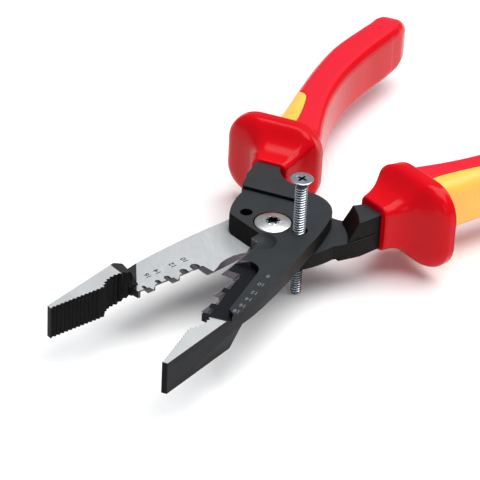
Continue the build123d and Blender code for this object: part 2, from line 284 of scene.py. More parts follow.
def wear_group():
    """Colour with lighter worn spots and a little darkening in patches."""
    tree, enter, leave = group(
        "worn_colour",
        {
            "Colour": (0.5, 0.5, 0.5, 1.0),
            "Worn": (0.7, 0.7, 0.7, 1.0),
            "Amount": 0.2,
            "Scale": 400.0,
            "Tone": 0.5,
        },
        {"Colour": "NodeSocketColor"},
    )
    place = node(tree, "ShaderNodeTexCoord", (-900, 0))
    spots = node(
        tree, "ShaderNodeTexNoise", (-700, 0), Vector=place.outputs["Object"], Detail=5.0, Roughness=0.7
    )
    tree.links.new(enter.outputs["Scale"], spots.inputs["Scale"])
    spot = ramp(tree, spots.outputs["Fac"], 0.52, 0.78)
    worn = maths(tree, "MULTIPLY", spot, enter.outputs["Amount"], clamp=True)
    colour = blend(tree, worn, enter.outputs["Colour"], enter.outputs["Worn"])
    dimmed = node(tree, "ShaderNodeHueSaturation", (-100, 0), Color=colour)
    shade = maths(tree, "ADD", maths(tree, "MULTIPLY", enter.outputs["Tone"], 0.24), 0.88)
    tree.links.new(shade, dimmed.inputs["Value"])
    tree.links.new(dimmed.outputs[0], leave.inputs["Colour"])
    return tree


GROUPS = {}


def use(tree, name, place, **inputs):
    """A shader group placed in a material with its own values."""
    if name not in GROUPS:
        makers = {"metal_grain": grain_group, "surface_skin": skin_group, "worn_colour": wear_group}
        GROUPS[name] = makers[name]()
    made = tree.nodes.new("ShaderNodeGroup")
    made.node_tree = GROUPS[name]
    made.location = place
    for label, value in inputs.items():
        socket = made.inputs[label.replace("_", " ")]
        if isinstance(value, bpy.types.NodeSocket):
            tree.links.new(value, socket)
        else:
            socket.default_value = value
    return made


def worn_colour(tree, colour, rubbed, amount, scale, tone):
    """A colour with lighter rubbed spots."""
    made = use(
        tree, "worn_colour", (-450, 100), Colour=colour, Worn=rubbed, Amount=amount, Scale=scale, Tone=tone
    )
    return made.outputs["Colour"]


def roughen(tree, shader, value, gain, low):
    """Roughness that rises from low with a value."""
    tree.links.new(maths(tree, "ADD", maths(tree, "MULTIPLY", value, gain), low), shader.inputs["Roughness"])


def plan_distance(tree, x, y):
    """Length of the plan vector (x, y)."""
    square = maths(tree, "ADD", maths(tree, "MULTIPLY", x, x), maths(tree, "MULTIPLY", y, y))
    return maths(tree, "SQRT", square)


def level_mask(tree, low, high):
    """1 on faces that look straight up or down, 0 on upright ones."""
    facing = node(tree, "ShaderNodeNewGeometry", (-1500, -400))
    normal = node(tree, "ShaderNodeSeparateXYZ", (-1300, -400), Vector=facing.outputs["Normal"])
    return ramp(tree, maths(tree, "ABSOLUTE", normal.outputs[2]), low, high)


def material(name):
    """A new material with its tree and its Principled shader."""
    made = bpy.data.materials.new(name)
    made.use_nodes = True
    shader = made.node_tree.nodes["Principled BSDF"]
    return made, made.node_tree, shader


def bump(tree, shader, height, strength, distance):
    """Bump from a height, feeding the shader's normal."""
    made = node(tree, "ShaderNodeBump", (-200, -300), Height=height)
    made.inputs["Strength"].default_value = strength
    made.inputs["Distance"].default_value = distance * MM
    tree.links.new(made.outputs[0], shader.inputs["Normal"])


def half_axes(tree, side):
    """x, y and z of a half frame, in metres, as three sockets."""
    place = node(tree, "ShaderNodeTexCoord", (-1500, 0))
    turn = node(tree, "ShaderNodeMapping", (-1300, 0), Vector=place.outputs["Object"])
    turn.inputs["Rotation"].default_value = (0, 0, -side * OPENING)
    parts = node(tree, "ShaderNodeSeparateXYZ", (-1100, 0), Vector=turn.outputs[0])
    return parts.outputs[0], maths(tree, "MULTIPLY", parts.outputs[1], float(side)), parts.outputs[2]


def black_lit_and_shaded(kit, side):
    """Satin black finish of a forging with painted light: lighter charcoal painted on the flats where the
    light falls, darker painted shade on the sides and in the pocket.
    """
    made, tree, shader = material("black_lit_and_shaded_" + ("upper" if side > 0 else "lower"))
    x, _, z = half_axes(tree, side)
    skin = use(tree, "surface_skin", (-700, -200), Scale=5200.0, Wave_Scale=160.0, Wave=0.7)
    # painted light: faces looking up or down get the lighter charcoal and upright faces the darker black, as
    # lit and shaded copies of one finish
    flat = level_mask(tree, 0.55, 0.95)
    # painted shade in the pocket: ahead of x 20.5 and less than 2.5 mm from the lap plane, the black is
    # painted darker still
    depth = maths(tree, "ABSOLUTE", maths(tree, "SUBTRACT", z, LAP * MM))
    pocket_shade = maths(
        tree, "MULTIPLY", ramp(tree, depth, 2.5 * MM, 3.1 * MM, 1.0, 0.0), ramp(tree, x, 19.5 * MM, 20.5 * MM)
    )
    tone = blend(tree, flat, tuple(kit.black), tuple(kit.flat))
    tone = blend(tree, pocket_shade, tone, (0.008, 0.0085, 0.011))
    worn = worn_colour(tree, tone, (0.040, 0.042, 0.047, 1), 0.30, 900.0, skin.outputs["Tone"])
    tree.links.new(worn, shader.inputs["Base Color"])
    roughen(tree, shader, skin.outputs["Tone"], 0.16, kit.gloss - 0.08)
    shader.inputs["Metallic"].default_value = 0.0
    shader.inputs["Specular IOR Level"].default_value = 0.09
    bump(tree, shader, skin.outputs["Height"], 0.10, 0.05)
    return made


def ground_steel(kit, side):
    """Ground faces, bare from the head to the slanted line and on the nose, black between them."""
    made, tree, shader = material("ground_steel_" + ("upper" if side > 0 else "lower"))
    x, y, _ = half_axes(tree, side)
    grain = use(
        tree, "metal_grain", (-700, 0), Turn=(0, 0, -side * OPENING + 0.5), Stretch=(1.0, 0.05, 1.0),
        Scale=5200.0, Cloud_Scale=110.0,
    )
    worn = worn_colour(tree, (*kit.steel, 1), (0.50, 0.51, 0.52, 1), 0.45, 2500.0, grain.outputs["Cloud"])
    # the bare part of the blade ends on a line from (39.4, 10.2) to (47.4, -0.9)
    slant = maths(tree, "ADD", x, maths(tree, "MULTIPLY", y, 8.0 / 11.1))
    blade_end = 39.4 + 10.2 * 8.0 / 11.1
    past_blade = ramp(tree, slant, (blade_end - 0.08) * MM, (blade_end + 0.08) * MM)
    before_nose = ramp(tree, x, 49.9 * MM, 50.0 * MM, 1.0, 0.0)
    behind = ramp(tree, x, -1.0 * MM, 0.5 * MM, 1.0, 0.0)
    shadow = maths(tree, "MAXIMUM", maths(tree, "MULTIPLY", past_blade, before_nose), behind)
    clear = ramp(tree, plan_distance(tree, x, y), 12.0 * MM, 18.0 * MM)
    near_head = maths(tree, "MULTIPLY", maths(tree, "SUBTRACT", 1.0, clear), 0.35)
    base = blend(tree, near_head, worn, (0.22, 0.23, 0.24))
    colour = blend(tree, shadow, base, tuple(kit.black))
    tree.links.new(colour, shader.inputs["Base Color"])
    lit = maths(tree, "SUBTRACT", 1.0, shadow)
    tree.links.new(maths(tree, "MULTIPLY", lit, 0.9), shader.inputs["Metallic"])
    roughen(tree, shader, grain.outputs["Height"], 0.22, 0.34)
    bump(tree, shader, grain.outputs["Height"], 0.18, 0.02)
    return made


def cut_steel(kit):
    """Milled walls of the notches, bars and teeth."""
    made, tree, shader = material("cut_steel")
    grain = use(
        tree, "metal_grain", (-700, 0), Turn=(0, 0, 0), Stretch=(1.0, 1.0, 0.06),
        Scale=4200.0, Cloud_Scale=260.0,
    )
    worn = worn_colour(tree, (*kit.cut, 1), (0.45, 0.44, 0.45, 1), 0.5, 1500.0, grain.outputs["Cloud"])
    tree.links.new(worn, shader.inputs["Base Color"])
    shader.inputs["Metallic"].default_value = 0.85
    roughen(tree, shader, grain.outputs["Height"], 0.25, 0.22)
    bump(tree, shader, grain.outputs["Height"], 0.2, 0.02)
    return made


def tooth_black():
    """Dark, slightly rubbed serrations on the noses."""
    made, tree, shader = material("tooth_black")
    grain = use(
        tree, "metal_grain", (-700, 0), Turn=(0, 0, 0), Stretch=(1.0, 1.0, 0.1),
        Scale=3600.0, Cloud_Scale=300.0,
    )
    worn = worn_colour(
        tree, (0.005, 0.0045, 0.0045, 1), (0.03, 0.027, 0.025, 1),
        0.3, 1200.0, grain.outputs["Cloud"],
    )
    tree.links.new(worn, shader.inputs["Base Color"])
    roughen(tree, shader, grain.outputs["Height"], 0.2, 0.30)
    shader.inputs["Specular IOR Level"].default_value = 0.08
    bump(tree, shader, grain.outputs["Height"], 0.15, 0.03)
    return made


def red_moulding(kit, side):
    """Glossy red insulation with satin panels on the flat sides of the handle."""
    made, tree, shader = material("red_insulation_" + ("upper" if side > 0 else "lower"))
    x, _, _ = half_axes(tree, side)
    skin = use(tree, "surface_skin", (-700, -200), Scale=2600.0, Wave_Scale=70.0, Wave=1.2)
    flat = level_mask(tree, 0.80, 0.93)
    behind = ramp(tree, x, -47.4 * MM, -45.6 * MM, 1.0, 0.0)
    panel = maths(tree, "MULTIPLY", flat, behind)
    worn = worn_colour(tree, (*kit.red, 1), (0.64, 0.006, 0.012, 1), 0.25, 600.0, skin.outputs["Tone"])
    satin = blend(tree, panel, worn, (0.66, 0.010, 0.026))
    tree.links.new(satin, shader.inputs["Base Color"])
    rough = maths(tree, "ADD", maths(tree, "MULTIPLY", panel, kit.satin - kit.gloss), kit.gloss)
    toned = maths(tree, "MULTIPLY", skin.outputs["Tone"], 0.05)
    tree.links.new(maths(tree, "ADD", rough, toned), shader.inputs["Roughness"])
    shader.inputs["Specular IOR Level"].default_value = 0.15
    shader.inputs["Subsurface Weight"].default_value = 0.06
    shader.inputs["Subsurface Radius"].default_value = (0.002, 0.0004, 0.0003)
    bump(tree, shader, skin.outputs["Height"], 0.05, 0.05)
    return made


def yellow_grip(kit):
    """Soft yellow inlay with a faint pebbled skin."""
    made, tree, shader = material("yellow_grip")
    skin = use(tree, "surface_skin", (-700, -200), Scale=1900.0, Wave_Scale=80.0, Wave=0.6)
    worn = worn_colour(tree, (*kit.yellow, 1), (0.95, 0.60, 0.16, 1), 0.3, 500.0, skin.outputs["Tone"])
    tree.links.new(worn, shader.inputs["Base Color"])
    roughen(tree, shader, skin.outputs["Tone"], 0.10, 0.34)
    shader.inputs["Subsurface Weight"].default_value = 0.08
    shader.inputs["Subsurface Radius"].default_value = (0.002, 0.001, 0.0004)
    bump(tree, shader, skin.outputs["Height"], 0.08, 0.05)
    return made


def yellow_core():
    """Plain inner insulation under the outer sleeve."""
    made, tree, shader = material("yellow_insulation")
    skin = use(tree, "surface_skin", (-700, -200), Scale=1500.0, Wave_Scale=60.0, Wave=0.8)
    worn = worn_colour(tree, (0.85, 0.55, 0.05, 1), (0.9, 0.65, 0.2, 1), 0.2, 400.0, skin.outputs["Tone"])
    tree.links.new(worn, shader.inputs["Base Color"])
    roughen(tree, shader, skin.outputs["Tone"], 0.1, 0.4)
    bump(tree, shader, skin.outputs["Height"], 0.08, 0.05)
    return made


def plated(name, colour, low_rough, axis, recess, root):
    """Turned or plated bright metal, with painted shade in its recess (radius, height) and in its thread
    roots.
    """
    made, tree, shader = material(name)
    grain = use(
        tree, "metal_grain", (-700, 0), Turn=(0, 0, 0), Stretch=(1.0, 1.0, 0.5),
        Scale=2200.0, Cloud_Scale=420.0,
    )
    worn = worn_colour(tree, (*colour, 1), (0.34, 0.35, 0.36, 1), 0.4, 1800.0, grain.outputs["Cloud"])
    place = node(tree, "ShaderNodeTexCoord", (-1500, 0))
    parts = node(tree, "ShaderNodeSeparateXYZ", (-1300, 0), Vector=place.outputs["Object"])
    aside = maths(tree, "SUBTRACT", parts.outputs[0], axis[0] * MM)
    along = maths(tree, "SUBTRACT", parts.outputs[1], axis[1] * MM)
    away = plan_distance(tree, aside, along)
    height = parts.outputs[2]
    # painted shade inside the recess: the recess is painted a dark blue-black
    sunk = maths(
        tree, "MULTIPLY",
        ramp(tree, away, (recess[0] - 0.1) * MM, (recess[0] + 0.1) * MM, 1.0, 0.0),
        maths(
            tree, "MULTIPLY",
            ramp(tree, height, (recess[1] - 0.12) * MM, (recess[1] - 0.02) * MM, 1.0, 0.0),
            ramp(tree, height, (recess[1] - 2.1) * MM, (recess[1] - 2.0) * MM),
        ),
    )
    below_head = ramp(tree, height, (recess[1] - 2.0) * MM, (recess[1] - 1.8) * MM, 1.0, 0.0)
    # painted shade in the thread roots, standing in for the shading between the thread's turns
    root_shade = maths(tree, "MULTIPLY", ramp(tree, away, root[0] * MM, root[1] * MM, 0.88, 0.0), below_head)
    painted_shade = maths(tree, "MAXIMUM", maths(tree, "MULTIPLY", sunk, 0.93), root_shade)
    tree.links.new(blend(tree, painted_shade, worn, (0.012, 0.02, 0.032)), shader.inputs["Base Color"])
    shader.inputs["Metallic"].default_value = 1.0
    roughen(tree, shader, grain.outputs["Cloud"], 0.2, low_rough)
    bump(tree, shader, grain.outputs["Height"], 0.08, 0.02)
    return made


def marking(name, colour):
    """Ink or etching of the wire sizes."""
    made, tree, shader = material(name)
    skin = use(tree, "surface_skin", (-700, -200), Scale=6000.0, Wave_Scale=900.0, Wave=0.5)
    worn = worn_colour(
        tree, (*colour, 1), (*[min(1, 2.2 * c) for c in colour], 1),
        0.5, 3000.0, skin.outputs["Tone"],
    )
    tree.links.new(worn, shader.inputs["Base Color"])
    roughen(tree, shader, skin.outputs["Tone"], 0.2, 0.5)
    return made


# ---------------------------------------------------------------- mesh parts


def add_piece(context, name, mesh, body, materials, smooth=30.0):
    """A finished mesh as a piece that rides on a body."""
    for made in materials:
        mesh.materials.append(made)
    mesh.validate()
    mesh.shade_smooth()
    mesh.set_sharp_from_angle(angle=math.radians(smooth))
    piece = bpy.data.objects.new(name, mesh)
    context.scene.collection.objects.link(piece)
    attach(piece, body)
    return piece


def ring_mesh(name, rings):
    """Closed skin through rings of equally many points; the ends are closed with a middle point each."""
    rings = [np.asarray(r, float) for r in rings]
    count = len(rings[0])
    verts = np.vstack(rings)
    faces = []
    for k in range(len(rings) - 1):
        for i in range(count):
            j = (i + 1) % count
            faces.append((k * count + i, k * count + j, (k + 1) * count + j, (k + 1) * count + i))
    ends = np.vstack([rings[0].mean(0), rings[-1].mean(0)])
    first, last = len(verts), len(verts) + 1
    verts = np.vstack([verts, ends])
    base = (len(rings) - 1) * count
    for i in range(count):
        j = (i + 1) % count
        faces.append((first, j, i))
        faces.append((last, base + i, base + j))
    mesh = bpy.data.meshes.new(name)
    mesh.from_pydata(verts.tolist(), [], faces)
    return mesh


def outward(mesh):
    """Turns the faces of a closed mesh outward."""
    work = bmesh.new()
    work.from_mesh(mesh)
    bmesh.ops.recalc_face_normals(work, faces=work.faces)
    work.to_mesh(mesh)
    work.free()
    return mesh


def smooth_rows(rows, places):
    """Rows of numbers led by a place, read off at other places along a smooth curve."""
    rows = np.asarray(rows, float)
    rows = rows[np.argsort(rows[:, 0])]
    x = rows[:, 0]
    slopes = np.gradient(rows[:, 1:], x, axis=0)
    out = []
    for place in places:
        i = int(np.clip(np.searchsorted(x, place) - 1, 0, len(x) - 2))
        h = x[i + 1] - x[i]
        t = (place - x[i]) / h
        a, b = rows[i, 1:], rows[i + 1, 1:]
        out.append(
            (2 * t**3 - 3 * t**2 + 1) * a
            + (t**3 - 2 * t**2 + t) * h * slopes[i]
            + (3 * t**2 - 2 * t**3) * b
            + (t**3 - t**2) * h * slopes[i + 1]
        )
    return out


def half_section(inner, outer, high, inner_corner, outer_corner):
    """Upper half of a rounded section, from the middle of the inner side over the top to the outer side."""
    steps = 24
    points = [(inner, high * i / 12 - inner_corner * i / 12) for i in range(12)]
    for i in range(steps + 1):
        a = math.pi / 2 * i / steps
        points.append((inner - inner_corner * (1 - math.cos(a)), high - inner_corner * (1 - math.sin(a))))
    for i in range(1, 16):
        y = inner - inner_corner + (outer + outer_corner - inner + inner_corner) * i / 16
        points.append((y, high))
    for i in range(steps + 1):
        a = math.pi / 2 * i / steps
        points.append((outer + outer_corner * (1 - math.sin(a)), high - outer_corner * (1 - math.cos(a))))
    points += [(outer, (high - outer_corner) * (1 - i / 12)) for i in range(1, 13)]
    return np.array(points)


def walk(points, stops):
    """Points at the given distances along a polyline."""
    steps = np.linalg.norm(np.diff(points, axis=0), axis=1)
    along = np.concatenate([[0], np.cumsum(steps)])
    return np.column_stack([np.interp(stops, along, points[:, k]) for k in range(points.shape[1])]), along[-1]


# Rows of the guard: place, inner edge, outer edge, half height, inner corner, outer corner
GUARD_ROWS = [
    (-26.3, -6.7, -17.6, 7.1, 2.0, 2.6),
    (-28.0, -6.3, -17.85, 7.2, 2.0, 2.8),
    (-30.0, -5.7, -18.3, 7.5, 2.1, 3.2),
    (-31.8, -5.1, -19.2, 8.1, 2.2, 3.8),
    (-33.5, -4.3, -20.8, 9.0, 2.4, 4.8),
    (-35.0, -3.4, -23.4, 10.3, 2.9, 6.2),
    (-36.4, -2.6, -26.6, 11.9, 3.8, 7.8),
    (-37.4, -2.0, -28.5, 12.8, 5.6, 8.8),
    (-38.4, -1.6, -29.5, 13.2, 7.5, 9.0),
    (-41.2, -1.3, -30.0, 13.25, 9.0, 9.2),
]
RIM_END = -41.2
# Rows of the handle: place, inner edge, outer edge, half height
HANDLE_ROWS = [
    (-40.5, -2.2, -19.2, 8.5),
    (-48.0, -4.2, -19.4, 8.35),
    (-55.0, -6.2, -19.7, 8.15),
    (-69.0, -9.2, -20.7, 8.05),
    (-83.0, -10.1, -21.3, 8.05),
    (-97.0, -8.9, -20.8, 8.1),
    (-111.0, -6.4, -18.0, 8.1),
    (-118.0, -5.2, -16.6, 7.8),
]
HANDLE_SHIFT = -0.65  # the handles' sections are centred this far from the lap plane
BUTT_START = -118.0
BUTT_LENGTH = 10.0
INNER_CORNER = 2.9
OUTER_CORNER = 3.9
# Seam of the inlay: place, distance along the section from the middle of the outer side
SEAM_ROWS = [
    (-43.0, 13.2),
    (-50.5, 13.0),
    (-57.0, 12.2),
    (-63.0, 11.3),
    (-64.6, 10.9),
    (-65.5, 10.1),
    (-66.4, 8.6),
    (-67.6, 7.2),
    (-70.0, 6.2),
    (-80.0, 5.6),
    (-96.0, 5.3),
    (-110.0, 4.6),
    (-113.0, 3.6),
]
INLAY_START = -42.4
INLAY_END = -112.6
RED_STEPS = 78
INLAY_STEPS = 44


def handle_place_list():
    """Places along the handle where rings stand."""
    places = list(np.arange(-43.6, -62.0, -1.2)) + list(np.arange(-62.0, -70.0, -0.5))
    places += list(np.arange(-70.0, BUTT_START, -1.2))
    return places


def handle_half(place):
    """Half section of the handle at a place."""
    return half_section(*smooth_rows(HANDLE_ROWS, [place])[0], INNER_CORNER, OUTER_CORNER)


def handle_sections():
    """Half sections of the handle behind the guard: place, points of the half section."""
    places = handle_place_list()
    made = []
    for place, (inner, outer, high) in zip(places, smooth_rows(HANDLE_ROWS, places)):
        made.append((place, half_section(inner, outer, high, INNER_CORNER, OUTER_CORNER)))
    inner, outer, high = HANDLE_ROWS[-1][1:]
    middle, wide = (inner + outer) / 2, (inner - outer) / 2
    for turn in range(0, 88, 8):
        a = math.radians(turn)
        shrink = math.cos(a) ** 0.9
        corner = max(0.06, shrink)
        made.append(
            (
                BUTT_START - BUTT_LENGTH * math.sin(a),
                half_section(
                    middle + wide * shrink, middle - wide * shrink, high * shrink,
                    INNER_CORNER * corner * 1.3, OUTER_CORNER * corner,
                ),
            )
        )
    return made


def normals_2d(points):
    """Outward normals of a half section."""
    d = np.gradient(points, axis=0)
    n = np.column_stack([-d[:, 1], d[:, 0]])
    n /= np.linalg.norm(n, axis=1)[:, None] + 1e-12
    middle = np.array([points[:, 0].mean(), 0.0])
    flip = np.sign(np.sum((points - middle) * n, axis=1))
    return n * np.where(flip == 0, 1, flip)[:, None]


def mirrored(half):
    """A half section closed below by its mirror image."""
    low = half[::-1].copy()
    low[:, 1] *= -1
    return np.vstack([half, low])


def ring_at(side, place, section):
    """A section's points in the tool's frame."""
    return to_tool(side, np.column_stack([np.full(len(section), place), section + [0.0, HANDLE_SHIFT]]))


def seam_at(place):
    """Distance from the middle of the outer side to the seam, along the section."""
    rows = np.array(SEAM_ROWS)[::-1]
    return float(np.interp(place, rows[:, 0], rows[:, 1]))


def red_half(points, seam, groove, depth):
    """Half section of the red sleeve: its own skin up to the seam, then the recess for the inlay."""
    _, length = walk(points, [0])
    edge = length - seam
    near = np.array([0.5, 0.3, 0.15, 0.05, 0.0])
    stops = np.concatenate([np.linspace(0, edge - 0.75, RED_STEPS), edge - groove / 2 - near])
    skin, _ = walk(points, stops)
    skin_out = normals_2d(skin)
    sink = np.zeros(len(stops))
    sink[-5:] = [0.0, 0.02, 0.06, 0.13, 0.24]
    skin = skin - skin_out * sink[:, None]
    floor, _ = walk(points, np.linspace(edge - groove / 2, length, INLAY_STEPS))
    floor = floor - normals_2d(floor) * depth
    return np.vstack([skin, floor])


def inlay_half(points, seam, groove, depth, lift):
    """Half sections of the inlay: its outer skin and its under side."""
    _, length = walk(points, [0])
    edge = length - seam
    near = np.array([0.0, 0.06, 0.16, 0.32, 0.55])
    bank = edge + groove / 2
    stops = np.concatenate([bank + near, np.linspace(bank + 0.8, length, INLAY_STEPS - 5)])
    skin, _ = walk(points, stops)
    out = normals_2d(skin)
    sink = np.full(len(stops), -lift)
    sink[:5] = [0.26, 0.13, 0.06, 0.01, -lift]
    return skin - out * sink[:, None], skin - out * (depth - 0.05)


def sleeve_mesh(side, name, kit):
    """Red sleeve: collar, flared guard, rim, handle with the recess for the inlay, and rounded butt."""
    groove, depth = kit.groove / MM, kit.inlay_depth / MM + 0.05
    rings = []
    top_row = GUARD_ROWS[0]

    def guard_ring(place, inner, outer, high, inner_corner, outer_corner):
        points = half_section(inner, outer, high, inner_corner, outer_corner)
        _, length = walk(points, [0])
        even, _ = walk(points, np.linspace(0, length, RED_STEPS + 5 + INLAY_STEPS))
        rings.append(ring_at(side, place, mirrored(even)))

    for inset, ahead in ((0.9, 0.0), (0.45, 0.0), (0.13, -0.14), (0.0, -0.45)):
        place, inner, outer, high, ci, co = top_row
        guard_ring(
            place + ahead, inner - inset, outer + inset, high - inset, ci - 0.6 * inset, co - 0.6 * inset
        )
    places = np.arange(-27.2, RIM_END, -0.45)
    for place, row in zip(places, smooth_rows(GUARD_ROWS, places)):
        guard_ring(place, *row)
    _, inner, outer, high, ci, co = GUARD_ROWS[-1]
    for inset, back in ((0.0, 0.0), (0.08, -0.25), (0.3, -0.45), (0.6, -0.55)):
        guard_ring(RIM_END + back, inner - inset, outer + inset, high - inset, ci - inset, co - inset)
    start = smooth_rows(HANDLE_ROWS, [-42.2])[0]
    for grow, back in ((0.9, -0.6), (0.35, -0.75), (0.08, -1.1)):
        guard_ring(
            RIM_END + back, start[0] + grow * 0.3, start[1] - grow, start[2] + grow,
            INNER_CORNER + grow, OUTER_CORNER + grow,
        )
    sections = handle_sections()
    first = handle_half(INLAY_START)
    rings.append(ring_at(side, INLAY_START, mirrored(red_half(first, seam_at(INLAY_START), groove, depth))))
    for place, points in sections:
        if place > INLAY_END:
            rings.append(ring_at(side, place, mirrored(red_half(points, seam_at(place), groove, depth))))
    end = handle_half(INLAY_END)
    rings.append(ring_at(side, INLAY_END, mirrored(red_half(end, seam_at(INLAY_END), groove, depth))))
    rings.append(ring_at(side, INLAY_END - 0.05, mirrored(red_half(end, seam_at(INLAY_END), groove, 0.0))))
    for place, points in sections:
        if place < INLAY_END - 0.3:
            rings.append(ring_at(side, place, mirrored(red_half(points, seam_at(INLAY_END), 0.02, 0.0))))
    return outward(ring_mesh(name, rings))


def inlay_mesh(side, name, kit):
    """Soft inlay: a crowned strip that fills the recess of the sleeve and sinks in at both ends."""
    groove, depth = kit.groove / MM, kit.inlay_depth / MM
    rings = []

    def strip(place, points, sunk):
        top, under = inlay_half(points, seam_at(place), groove, depth, 0.03)
        top = top - normals_2d(top) * sunk
        rings.append(ring_at(side, place, closed_strip(top, under)))

    for back, sunk in ((0.1, 0.35), (0.25, 0.12), (0.5, 0.0)):
        strip(INLAY_START - back, handle_half(INLAY_START - back), sunk)
    for place, points in handle_sections():
        if INLAY_START - 0.6 > place > INLAY_END + 0.7:
            strip(place, points, 0.0)
    for ahead, sunk in ((0.6, 0.0), (0.3, 0.1), (0.12, 0.3)):
        strip(INLAY_END + ahead, handle_half(INLAY_END + ahead), sunk)
    return outward(ring_mesh(name, rings))


def closed_strip(top, under):
    """Closed section of the inlay from the half sections of its skin and under side."""
    low_top, low_under = top[:-1][::-1].copy(), under[:-1][::-1].copy()
    low_top[:, 1] *= -1
    low_under[:, 1] *= -1
    return np.vstack([top, low_top, np.vstack([under, low_under])[::-1]])


GROUND, CUT, TOOTH = 1, 2, 3  # material slots of a forging after its black skin
HEAD_START = 2.0  # the lap face is ground from here forwards
BLADE_START, BLADE_END = 9.0, 46.4  # ends of the cut edge along the jaw
TEETH_START = 47.6  # the nose's serrated face begins
NOSE_FLAT_START = 52.0  # the nose's ground flat begins


def forging_mesh(side, name, source, kit):
    """The forged half with rounded edges, and its ground and cut faces marked."""
    work = bmesh.new()
    work.from_mesh(source.data)
    bmesh.ops.remove_doubles(work, verts=work.verts, dist=1e-7)
    bmesh.ops.dissolve_limit(
        work, angle_limit=math.radians(1.0), use_dissolve_boundaries=False,
        verts=work.verts, edges=work.edges, delimit={"NORMAL"},
    )
    work.normal_update()
    for face in work.faces:
        along, across, rise = to_half(side, face.calc_center_median())[0]
        up = face.normal.z * side
        level = abs(up) > 0.97
        if level and -1 < rise < 0.2 and along > HEAD_START:
            face.material_index = GROUND
        elif level and along > NOSE_FLAT_START and abs(rise) > 4.6:
            face.material_index = GROUND
        elif along > TEETH_START and abs(up) < 0.2 and across < 5.6:
            face.material_index = TOOTH
        elif BLADE_START < along < BLADE_END and across < 2.0 and not level and rise < 4.2:
            face.material_index = CUT
    classes = {"body": [], "neck": [], "fine": [], "heel": [], "brow": []}
    for edge in work.edges:
        if not edge.is_manifold or edge.calc_face_angle(0) < math.radians(24):
            continue
        a, b = (to_half(side, v.co)[0] for v in edge.verts)
        middle = (a + b) / 2
        kinds = {f.material_index for f in edge.link_faces}
        rear = 43.0 < min(a[0], b[0]) and max(a[0], b[0]) < 49.2 and middle[2] < -0.3
        if rear and min(a[1], b[1]) > 5.0 and abs(a[2] - b[2]) > 2.5:
            classes["heel"].append(edge)
        elif rear and middle[2] < -4.6:
            classes["brow"].append(edge)
        elif kinds & {CUT, TOOTH} or (9 < middle[0] < 48 and middle[1] < 2.5 and middle[2] < 3.9):
            classes["fine"].append(edge)
        elif middle[0] < -10.8 and np.linalg.norm(middle[:2]) > 8:
            classes["neck"].append(edge)
        else:
            classes["body"].append(edge)
    widths = {
        "heel": 0.9 * MM, "brow": 0.7 * MM, "neck": kit.neck_edge, "body": kit.body_edge, "fine": 0.05 * MM
    }
    steps = {"heel": 5, "brow": 3, "neck": 3, "body": 3, "fine": 1}
    for kind in widths:
        edges = [e for e in classes[kind] if e.is_valid]
        bmesh.ops.bevel(
            work, geom=edges, offset=widths[kind], offset_type="OFFSET", segments=steps[kind],
            profile=0.5, affect="EDGES", clamp_overlap=True, material=-1,
        )
    mesh = bpy.data.meshes.new(name)
    work.to_mesh(mesh)
    work.free()
    return mesh


def number_mesh(name, marks, side, level, reading, upright, letter):
    """Flat numbers: each mark is its text and its middle in the half frame."""
    work = bmesh.new()
    for text, x, y in marks:
        curve = bpy.data.curves.new(name + "_text", "FONT")
        curve.body = text
        curve.size = letter
        curve.align_x = "CENTER"
        curve.align_y = "CENTER"
        curve.extrude = 0.012
        curve.offset = 0.035
        holder = bpy.data.objects.new(name + "_text", curve)
        flat = bpy.data.meshes.new_from_object(holder)
        co = np.array([v.co for v in flat.vertices], float)
        place = np.array([x, y, level]) + np.outer(co[:, 0], reading) + np.outer(co[:, 1], upright)
        place[:, 2] += co[:, 2]
        for vert, spot in zip(flat.vertices, to_tool(side, place)):
            vert.co = spot
        work.from_mesh(flat)
        bpy.data.objects.remove(holder)
        bpy.data.curves.remove(curve)
        bpy.data.meshes.remove(flat)
    bmesh.ops.remove_doubles(work, verts=work.verts, dist=1e-8)
    bmesh.ops.recalc_face_normals(work, faces=work.faces)
    mesh = bpy.data.meshes.new(name)
    work.to_mesh(mesh)
    work.free()
    return mesh


def round_rings(profile, turns, reach=None):
    """Rings about the z axis from (radius, height) pairs; reach(angle) scales the marked ones."""
    rings = []
    for radius, height, shaped in profile:
        ring = []
        for i in range(turns):
            a = 2 * math.pi * i / turns
            r = radius * reach(a) if shaped else radius
            ring.append((r * math.cos(a), r * math.sin(a), height))
        rings.append(np.array(ring))
    return rings


def star(angle):
    """Outline of the six-lobe recess."""
    return 1.66 + 0.32 * math.cos(6 * angle)


def cross(angle):
    """Outline of the cross recess."""
    turn = (angle + math.pi / 4) % (math.pi / 2) - math.pi / 4
    return min(1.55, 0.36 / max(abs(math.sin(turn)), 1e-6))


def pivot_head_mesh(name):
    """Domed pivot screw with its six-lobe recess."""
    top, edge, radius, dome = PIVOT_TOP, 8.8, 5.2, 0.8
    ball = (radius**2 + dome**2) / (2 * dome)
    profile = [
        (2.4, 2.0, 0), (2.4, 7.5, 0), (5.1, 7.5, 0), (5.2, 7.6, 0),
        (5.2, edge - 0.22, 0), (5.15, edge - 0.07, 0),
    ]
    for r in (5.0, 4.8, 4.5, 4.0, 3.5, 3.0, 2.5, 2.15):
        profile.append((r, top - ball + math.sqrt(ball**2 - r**2), 0))
    rim = top - 0.03
    profile += [
        (1.07, rim, 1), (1.0, rim - 0.10, 1), (0.97, rim - 0.3, 1), (0.93, rim - 1.55, 1), (0.4, rim - 1.9, 1)
    ]
    return outward(ring_mesh(name, [r * MM for r in round_rings(profile, 144, star)]))


